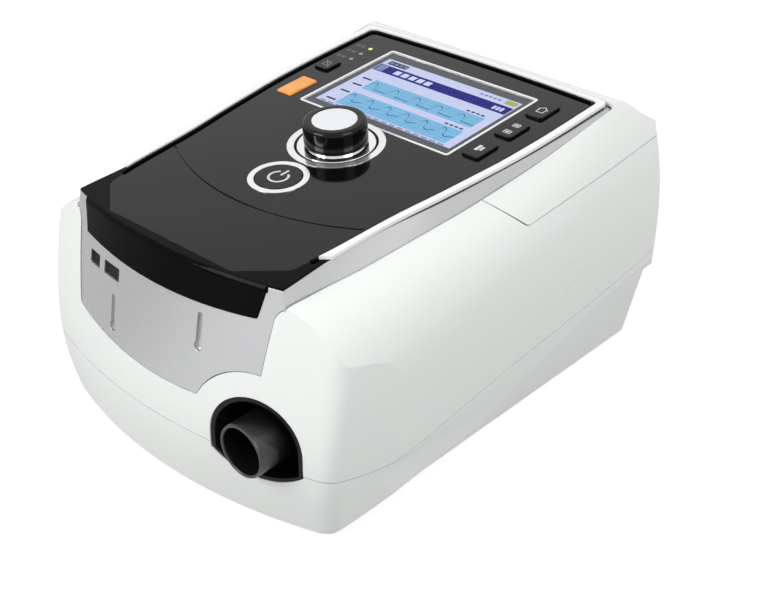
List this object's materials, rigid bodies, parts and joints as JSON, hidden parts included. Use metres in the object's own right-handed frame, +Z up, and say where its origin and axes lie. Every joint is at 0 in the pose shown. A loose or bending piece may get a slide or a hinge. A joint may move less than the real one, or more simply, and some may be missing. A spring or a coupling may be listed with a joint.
{
  "type": "bilevel breathing therapy machine",
  "caption": "Bench-top breathing-therapy blower unit with a white casing, tilted dark control panel, screen, push-turn dial, front docking plate and conical hose outlet.",
  "frame": {"origin": "on the table under the middle of the machine's bounding box", "axes": "+Z up, +X to the right seen from the front, the front with the hose outlet faces -Y"},
  "size_m": [0.1704, 0.2232, 0.1206],
  "materials": {
    "casing_white": "satin white moulded plastic",
    "silver_paint": "silver satin paint",
    "gloss_black": "gloss black moulded plastic",
    "panel_grey": "matt dark grey overlay",
    "trim_white": "gloss white",
    "print_white": "white print",
    "lens_glass": "clear hard-coated window",
    "lcd_body": "colour display",
    "chrome_trim": "bright chrome",
    "cap_white": "pale silver-white cap",
    "key_grey": "matt dark grey keys",
    "alarm_amber": "amber translucent",
    "led_green": "clear lamp",
    "soft_rubber": "soft black rubber",
    "board_green": "green circuit board",
    "dark_plastic": "black moulded plastic",
    "steel": "zinc-plated steel",
    "recess_black": "black moulded plastic",
    "spigot_grey": "dark grey moulded plastic",
    "moulded_grey": "grey moulded plastic",
    "motor_case": "machined aluminium",
    "foam": "open-cell foam",
    "battery_wrap": "blue shrink wrap"
  },
  "bodies": {
    "casing": {"air_filter": "foam", "alarm_light": "alarm_amber", "base_tray": "casing_white", "battery_pack": "battery_wrap", "blower_lower": "moulded_grey", "blower_mounts": "soft_rubber", "blower_upper": "moulded_grey", "board_screws": "steel", "chassis_frame": "silver_paint", "data_ports": "dark_plastic", "dial_flange": "chrome_trim", "dial_ring": "print_white", "display_board": "board_green", "dock_window_large": "recess_black", "dock_window_small": "recess_black", "duct_sleeves": "soft_rubber", "encoder_body": "dark_plastic", "flow_sensor": "moulded_grey", "handle_cover": "casing_white", "housing_screws": "steel", "intake_box": "moulded_grey", "intake_seal": "soft_rubber", "key_domes": "soft_rubber", "lcd_module": "lcd_body", "main_board": "board_green", "mains_inlet": "dark_plastic", "motor_bearings": "steel", "motor_stator": "motor_case", "outer_shell": "casing_white", "outlet_cup": "recess_black", "outlet_gasket": "soft_rubber", "outlet_spigot": "spigot_grey", "oxygen_port": "dark_plastic", "panel_bezel": "gloss_black", "panel_overlay": "panel_grey", "power_ring": "print_white", "power_supply": "board_green", "rubber_feet": "soft_rubber", "screen_lens": "lens_glass", "screen_rim": "print_white", "silencer_foam": "foam", "status_leds": "led_green", "switch_frame": "dark_plastic", "trim_frame": "trim_white"},
    "dial_carrier": {"encoder_shaft": "steel"},
    "dial": {"dial_knob": "gloss_black", "dial_cap": "cap_white"},
    "power": {"power_button": "key_grey"},
    "key_a": {"key_lower": "key_grey"},
    "key_b": {"key_middle": "key_grey"},
    "key_c": {"key_upper": "key_grey"},
    "mute": {"mute_key": "key_grey"},
    "rotor": {"impeller": "moulded_grey", "motor_shaft": "steel"},
    "filter_lid": {"filter_cover": "casing_white"},
    "rocker": {"rocker_switch": "dark_plastic"}
  },
  "joints": [
    {"name": "dial_push", "type": "slide", "parent": "casing", "child": "dial_carrier", "axis": [0, 0.0772, -0.997], "range_m": [0, 0.0008], "stiffness_N_per_m": 2500, "springref_m": -0.0008},
    {"name": "dial_turn", "type": "hinge", "parent": "dial_carrier", "child": "dial", "pos_m": [-0.0011, -0.00608, 0.10857], "axis": [0, -0.0772, 0.997], "continuous": true},
    {"name": "power_push", "type": "slide", "parent": "casing", "child": "power", "axis": [0, 0.0772, -0.997], "range_m": [0, 0.0007], "stiffness_N_per_m": 1500, "springref_m": -0.0006},
    {"name": "key_lower_push", "type": "slide", "parent": "casing", "child": "key_a", "axis": [0, 0.0772, -0.997], "range_m": [0, 0.0007], "stiffness_N_per_m": 1200, "springref_m": -0.0006},
    {"name": "key_middle_push", "type": "slide", "parent": "casing", "child": "key_b", "axis": [0, 0.0772, -0.997], "range_m": [0, 0.0007], "stiffness_N_per_m": 1200, "springref_m": -0.0006},
    {"name": "key_upper_push", "type": "slide", "parent": "casing", "child": "key_c", "axis": [0, 0.0772, -0.997], "range_m": [0, 0.0007], "stiffness_N_per_m": 1200, "springref_m": -0.0006},
    {"name": "mute_push", "type": "slide", "parent": "casing", "child": "mute", "axis": [0, 0.0772, -0.997], "range_m": [0, 0.0007], "stiffness_N_per_m": 1200, "springref_m": -0.0006},
    {"name": "impeller_spin", "type": "hinge", "parent": "casing", "child": "rotor", "pos_m": [0.0286, 0.01, 0.0446], "axis": [0, 0, 1], "continuous": true},
    {"name": "filter_lid_hinge", "type": "hinge", "parent": "casing", "child": "filter_lid", "pos_m": [0.042, 0.1116, 0.0525], "axis": [-1, 0, 0], "range_deg": [0, 85]},
    {"name": "rocker_tip", "type": "hinge", "parent": "casing", "child": "rocker", "pos_m": [-0.02, 0.1, 0.02], "axis": [-1, 0, 0], "range_deg": [0, 24]}
  ]
}
